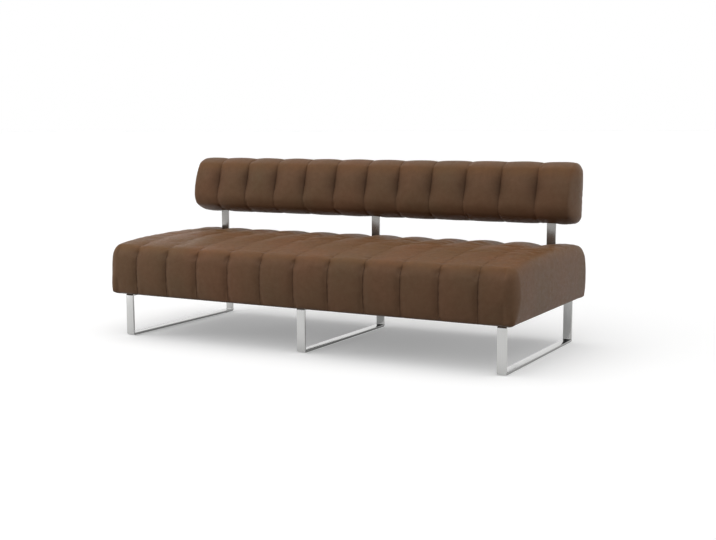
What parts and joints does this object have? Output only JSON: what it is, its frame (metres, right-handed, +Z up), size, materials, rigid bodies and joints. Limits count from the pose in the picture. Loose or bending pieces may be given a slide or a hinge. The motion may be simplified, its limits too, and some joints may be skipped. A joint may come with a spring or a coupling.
{
  "type": "reception bench",
  "caption": "Long padded bench with a deep channelled leather seat, a low channelled back pad on flat steel uprights, and sled legs of bent flat steel bar.",
  "frame": {"origin": "on the floor, under the middle of the seat", "axes": "+X along the seat's length, +Y from the seat's front to the back pad, +Z up"},
  "size_m": [2.01, 0.902, 0.8114],
  "materials": {
    "leather": "soft grained brown",
    "foam": "open-cell foam",
    "wood": "planed beech",
    "plywood": "sanded plywood",
    "cloth": "black non-woven cloth",
    "steel": "satin brushed",
    "zinc": "zinc plated",
    "nylon": "matt black"
  },
  "bodies": {
    "root": {"seat_cover": "leather", "back_cover": "leather", "back_panel": "leather", "seat_foam": "foam", "back_foam_front": "foam", "back_foam_rear": "foam", "front_rail": "wood", "rear_rail": "wood", "left_rail": "wood", "right_rail": "wood", "left_plank": "wood", "middle_plank": "wood", "right_plank": "wood", "post_rail": "wood", "seat_deck": "plywood", "back_board": "plywood", "dust_cover": "cloth", "leg_frame_left": "steel", "leg_frame_middle": "steel", "leg_frame_right": "steel", "upright_left": "steel", "upright_middle": "steel", "upright_right": "steel", "leg_bolt_left_front": "zinc", "leg_bolt_left_rear": "zinc", "leg_bolt_middle_front": "zinc", "leg_bolt_middle_rear": "zinc", "leg_bolt_right_front": "zinc", "leg_bolt_right_rear": "zinc", "leg_tnut_left_front": "zinc", "leg_tnut_left_rear": "zinc", "leg_tnut_middle_front": "zinc", "leg_tnut_middle_rear": "zinc", "leg_tnut_right_front": "zinc", "leg_tnut_right_rear": "zinc", "seat_screw_left_low": "zinc", "seat_screw_left_high": "zinc", "seat_screw_middle_low": "zinc", "seat_screw_middle_high": "zinc", "seat_screw_right_low": "zinc", "seat_screw_right_high": "zinc", "back_screw_left_low": "zinc", "back_screw_left_high": "zinc", "back_screw_middle_low": "zinc", "back_screw_middle_high": "zinc", "back_screw_right_low": "zinc", "back_screw_right_high": "zinc", "glide_left_front": "nylon", "glide_left_rear": "nylon", "glide_middle_front": "nylon", "glide_middle_rear": "nylon", "glide_right_front": "nylon", "glide_right_rear": "nylon"}
  },
  "joints": []
}
